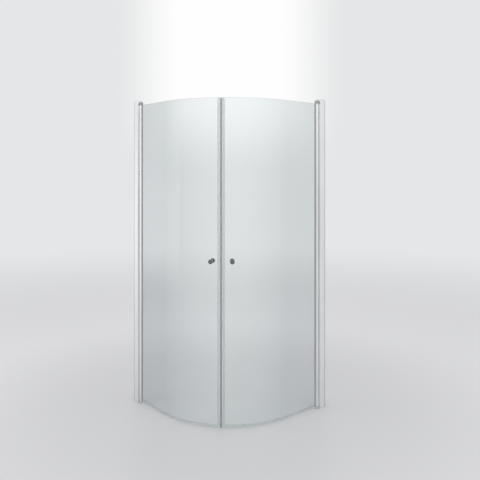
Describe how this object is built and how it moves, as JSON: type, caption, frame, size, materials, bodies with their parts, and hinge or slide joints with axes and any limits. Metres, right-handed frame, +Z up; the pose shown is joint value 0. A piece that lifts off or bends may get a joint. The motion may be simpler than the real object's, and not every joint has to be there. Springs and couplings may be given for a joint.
{
  "type": "quadrant shower enclosure",
  "caption": "Quadrant shower enclosure: curved clear glass doors that pivot outwards on aluminium wall profiles and close at a magnetic corner seam, with round metal knobs.",
  "frame": {"origin": "on the floor, at the centre of the square footprint", "axes": "+Z up; the left wall is the plane X = -0.45, the right wall is the plane Y = +0.45; the doors meet on the diagonal towards +X and -Y, and the outside of the enclosure is beyond the glass on the -Y and +X sides"},
  "size_m": [0.9, 0.9, 2],
  "materials": {
    "satin_aluminium": "satin anodised, bright silver",
    "mill_aluminium": "plain drawn aluminium",
    "clear_glass": "clear toughened glass with ground edges",
    "dark_gasket": "grey extruded gasket",
    "clear_seal": "soft translucent seal",
    "magnet_strip": "dark magnet strip",
    "knob_metal": "polished metal",
    "stainless_steel": "stainless steel",
    "bearing_plastic": "grey moulded plastic",
    "slide_plastic": "pale low-friction plastic",
    "cap_plastic": "grey moulded plastic"
  },
  "bodies": {
    "wall_frames": {"left_wall_channel": "mill_aluminium", "left_post": "satin_aluminium", "left_post_cap": "cap_plastic", "left_lock_screws": "stainless_steel", "left_bearing_screws": "stainless_steel", "left_top_bearing": "bearing_plastic", "left_bottom_bearing": "bearing_plastic", "left_top_pivot_pin": "stainless_steel", "left_bottom_pivot_pin": "stainless_steel", "left_thrust_washer": "slide_plastic", "left_hinge_seal": "clear_seal", "right_wall_channel": "mill_aluminium", "right_post": "satin_aluminium", "right_post_cap": "cap_plastic", "right_lock_screws": "stainless_steel", "right_bearing_screws": "stainless_steel", "right_top_bearing": "bearing_plastic", "right_bottom_bearing": "bearing_plastic", "right_top_pivot_pin": "stainless_steel", "right_bottom_pivot_pin": "stainless_steel", "right_thrust_washer": "slide_plastic", "right_hinge_seal": "clear_seal"},
    "left_door": {"left_door_rail": "satin_aluminium", "left_top_pivot_socket": "bearing_plastic", "left_bottom_pivot_socket": "bearing_plastic", "left_glazing_gasket": "dark_gasket", "left_door_glass": "clear_glass", "left_magnet_seal": "clear_seal", "left_magnet_bar": "magnet_strip", "left_sweep_seal": "clear_seal", "left_outer_knob": "knob_metal", "left_inner_knob": "knob_metal", "left_knob_stud": "stainless_steel", "left_knob_sleeve": "slide_plastic", "left_knob_washers": "clear_seal"},
    "right_door": {"right_door_rail": "satin_aluminium", "right_top_pivot_socket": "bearing_plastic", "right_bottom_pivot_socket": "bearing_plastic", "right_glazing_gasket": "dark_gasket", "right_door_glass": "clear_glass", "right_magnet_seal": "clear_seal", "right_magnet_bar": "magnet_strip", "right_sweep_seal": "clear_seal", "right_outer_knob": "knob_metal", "right_inner_knob": "knob_metal", "right_knob_stud": "stainless_steel", "right_knob_sleeve": "slide_plastic", "right_knob_washers": "clear_seal"}
  },
  "joints": [
    {"name": "left_door_hinge", "type": "hinge", "parent": "wall_frames", "child": "left_door", "pos_m": [-0.39, -0.43, 0], "axis": [0, 0, -1], "range_deg": [0, 95]},
    {"name": "right_door_hinge", "type": "hinge", "parent": "wall_frames", "child": "right_door", "pos_m": [0.43, 0.39, 0], "axis": [0, 0, 1], "range_deg": [0, 95]}
  ]
}
